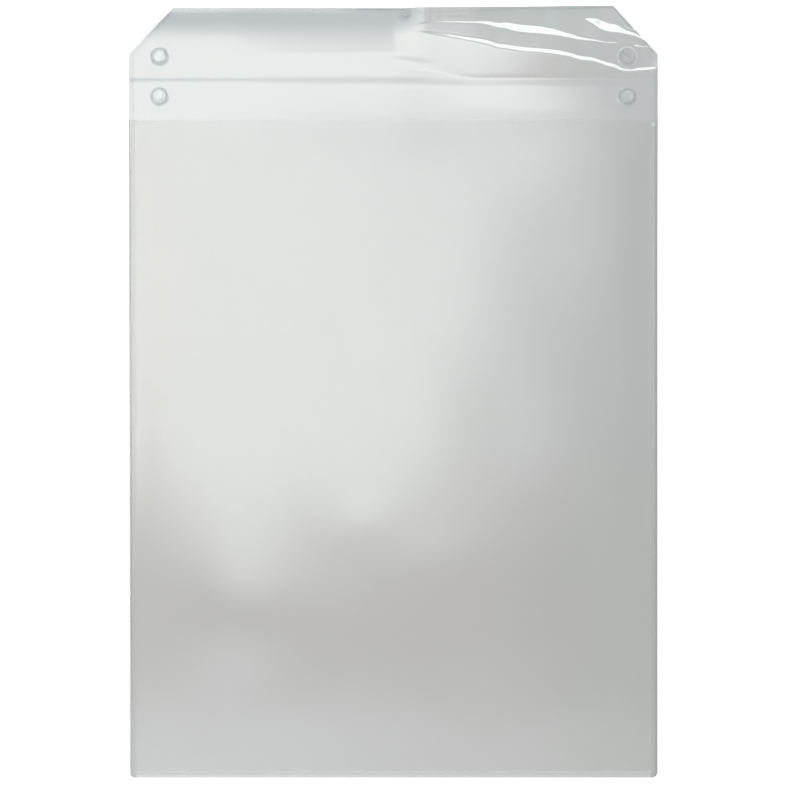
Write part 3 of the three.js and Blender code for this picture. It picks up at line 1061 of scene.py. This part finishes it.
# The softbox overhead: its right edge, how that leans left on the near side, on the far side and at the near
# corner, a step in it and its depth, how soft it is, how far and how fast it gets sharper on the near side and
# softer on the far one, its faint halo, its left corner, its two ends, and its colours, yellowed on the near
# left
BOX_EDGE = 0.0725
BOX_NEAR_LEAN = (0.1, 0.22)
BOX_FAR_LEAN = (0.11, 0.5)
BOX_CORNER_LEAN = (-0.02, 0.5)
BOX_STEP = (0.125, 0.15)
BOX_STEP_DEPTH = 0.02
BOX_SOFTNESS = 0.078
BOX_SHARPER = (0.13, 0.27)
BOX_SOFTER = (0.1, 0.4)
BOX_HALO = (0.1, 0.135)
BOX_HALO_SHARE = 0.1
BOX_LEFT_LEAN = (-0.1, 0.55)
BOX_NEAR_END = (-0.118, -0.028)
BOX_FAR_END = (0.2, 0.34)
BOX_WHITE = (3.9, 4.06, 4.0)
BOX_YELLOWED = (4.06, 4.02, 3.8)
YELLOWED_LEFT = (-0.14, -0.08)
YELLOWED_NEAR = (0.08, 0.15)

# A cool pale screen on the near side, palest on the left, and the pale foot of the studio all round
SCREEN = (2.0, 2.12, 2.16)
SCREEN_NEAR = (-0.205, -0.125)
SCREEN_LEFT = (-0.16, 0.32)
FOOT = (1.05, 1.07, 1.08)
FOOT_REACH = (0.3, 1.2)

# The dark of the studio: bluish in general; on the near side warm, and greenish on the right; teal far off.
# The near and the far dark change from left to right by steps, and end or start by one.
DARK = (0.22, 0.25, 0.34)
NEAR_DARK = ((0.2, 0.04, 0.0), (0.33, 0.14, 0.14), (0.0, 0.12, 0.0))
NEAR_DARK_STEPS = ((-0.14, -0.03), (0.06, 0.12))
NEAR_DARK_END = (-0.065, 0.005)
FAR_DARK = ((0.0, 0.4, 0.5), (0.1, 0.4, 0.3))
FAR_DARK_STEP = (0.0, 0.05)
FAR_DARK_START = (0.2, 0.27)

# The least height of a direction, which keeps the tangents finite at the horizon
LEAST_HEIGHT = 0.02


def softbox_share(tree, right, far):
    """How fully the softbox stands at a place: its body up to the right edge and its halo, between its ends."""
    nearer = above_zero(tree, minus(tree, BOX_NEAR_LEAN[0], far))
    farther = above_zero(tree, minus(tree, far, BOX_FAR_LEAN[0]))
    nearest = above_zero(tree, minus(tree, BOX_CORNER_LEAN[0], far))
    edge = minus(tree, BOX_EDGE, times(tree, nearer, BOX_NEAR_LEAN[1]))
    edge = minus(tree, edge, times(tree, farther, BOX_FAR_LEAN[1]))
    edge = minus(tree, edge, times(tree, step_node(tree, far, *BOX_STEP), BOX_STEP_DEPTH))
    edge = minus(tree, edge, times(tree, nearest, BOX_CORNER_LEAN[1]))
    sharper = times(tree, math_node(tree, "MINIMUM", nearer, BOX_SHARPER[0]), BOX_SHARPER[1])
    softer = times(tree, math_node(tree, "MINIMUM", farther, BOX_SOFTER[0]), BOX_SOFTER[1])
    softness = math_node(tree, "ADD", minus(tree, BOX_SOFTNESS, sharper), softer)
    past = math_node(tree, "DIVIDE", minus(tree, right, edge), softness)
    body = times(tree, falling_step(tree, past, -1.0, 1.0), 1 - BOX_HALO_SHARE)
    halo = times(tree, falling_step(tree, right, *BOX_HALO), BOX_HALO_SHARE)
    left_corner = times(tree, above_zero(tree, minus(tree, BOX_LEFT_LEAN[0], right)), BOX_LEFT_LEAN[1])
    near_end = step_node(tree, minus(tree, far, left_corner), *BOX_NEAR_END)
    ends = times(tree, near_end, falling_step(tree, far, *BOX_FAR_END))
    return times(tree, math_node(tree, "ADD", body, halo), ends)


def studio_colour(tree, right, far):
    """The studio's colour at a place: the dark, then the foot, the screen and the softbox laid over it."""
    near_dark = NEAR_DARK[0]
    for step, further_right in zip(NEAR_DARK_STEPS, NEAR_DARK[1:]):
        near_dark = mix_colour(tree, step_node(tree, right, *step), near_dark, further_right)
    far_dark = mix_colour(tree, step_node(tree, right, *FAR_DARK_STEP), *FAR_DARK)
    colour = mix_colour(tree, falling_step(tree, far, *NEAR_DARK_END), DARK, near_dark)
    colour = mix_colour(tree, step_node(tree, far, *FAR_DARK_START), colour, far_dark)
    squares = math_node(tree, "ADD", times(tree, right, right), times(tree, far, far))
    reach = math_node(tree, "SQRT", squares)
    colour = mix_colour(tree, step_node(tree, reach, *FOOT_REACH), colour, FOOT)
    screen = times(tree, falling_step(tree, far, *SCREEN_NEAR), falling_step(tree, right, *SCREEN_LEFT))
    colour = mix_colour(tree, screen, colour, SCREEN)
    yellowed = times(tree, falling_step(tree, right, *YELLOWED_LEFT), falling_step(tree, far, *YELLOWED_NEAR))
    box = mix_colour(tree, yellowed, BOX_WHITE, BOX_YELLOWED)
    return mix_colour(tree, softbox_share(tree, right, far), colour, box)


def make_world():
    """White to the camera, an even fill for matt surfaces, and for mirrors the studio."""
    world = bpy.data.worlds.new("studio")
    bpy.context.scene.world = world
    world.use_nodes = True
    tree = world.node_tree
    tree.nodes.clear()
    direction = add_node(tree, "TexCoord", {}).outputs["Generated"]
    x, y, z = add_node(tree, "SeparateXYZ", {0: direction}).outputs
    height = math_node(tree, "MAXIMUM", z, LEAST_HEIGHT)
    right = math_node(tree, "DIVIDE", x, height)
    far = math_node(tree, "DIVIDE", y, height)
    studio = add_node(tree, "Background", {"Color": studio_colour(tree, right, far)})
    fill = add_node(tree, "Background", {"Color": WHITE, "Strength": FILL})
    white = add_node(tree, "Background", {"Color": WHITE})
    ray = add_node(tree, "LightPath", {}).outputs
    lit = mix_shaders(tree, ray["Is Glossy Ray"], fill.outputs[0], studio.outputs[0])
    seen = math_node(tree, "MAXIMUM", ray["Is Camera Ray"], ray["Is Transmission Ray"])
    out = tree.nodes.new("ShaderNodeOutputWorld")
    tree.links.new(mix_shaders(tree, seen, lit, white.outputs[0]), out.inputs["Surface"])


# The lamps: place and size in metres, power in watts. The folds' facets mirror the far one.
FAR_LAMP = {"place": (0.1, 1.25, 1.5), "size": (1.8, 0.37), "power": 10.8}
LEFT_LAMP = {"place": (-1.2, -0.35, 1.5), "size": (0.9, 0.9), "power": 11.0}


def make_lamp(name, place, size, power):
    """A rectangular lamp at place that faces the middle of the sleeve."""
    light = bpy.data.lights.new(name, "AREA")
    light.shape = "RECTANGLE"
    light.size, light.size_y = size
    light.energy = power
    lamp = bpy.data.objects.new(name, light)
    bpy.context.scene.collection.objects.link(lamp)
    lamp.location = place
    lamp.rotation_mode = "QUATERNION"
    lamp.rotation_quaternion = Vector(place).to_track_quat("Z", "Y")


# The sleeve in the photograph's frame, in pixels: its width, the middle of it and the free edge of the flap
FRAME_PIXELS = 800
SLEEVE_PIXELS = 528.1
SLEEVE_CENTRE_X = 393.35
TOP_EDGE_Y = 6.0
PIXEL = 2 * HALF_WIDTH / SLEEVE_PIXELS

# The camera's lens, sensor width and nearest distance: millimetres, millimetres and metres
LENS = 85.0
SENSOR = 36.0
NEAREST = 0.01


def make_camera():
    """The camera straight above, at the distance from which the sleeve fills the photograph's frame."""
    camera = bpy.data.cameras.new("camera")
    camera.lens = LENS
    camera.sensor_width = SENSOR
    camera.clip_start = NEAREST
    holder = bpy.data.objects.new("camera", camera)
    bpy.context.scene.collection.objects.link(holder)
    middle = FRAME_PIXELS / 2
    x = (middle - SLEEVE_CENTRE_X) * PIXEL
    y = TOP - (middle - TOP_EDGE_Y) * PIXEL
    distance = FRAME_PIXELS * PIXEL * LENS / SENSOR
    holder.location = (x, y, distance)
    bpy.context.scene.camera = holder


make_sleeve()
make_table()
make_world()
make_lamp("far_lamp", **FAR_LAMP)
make_lamp("left_lamp", **LEFT_LAMP)
make_camera()
bpy.context.scene.view_settings.view_transform = "Standard"
bpy.context.scene.cycles.transparent_max_bounces = CLEAR_LAYERS
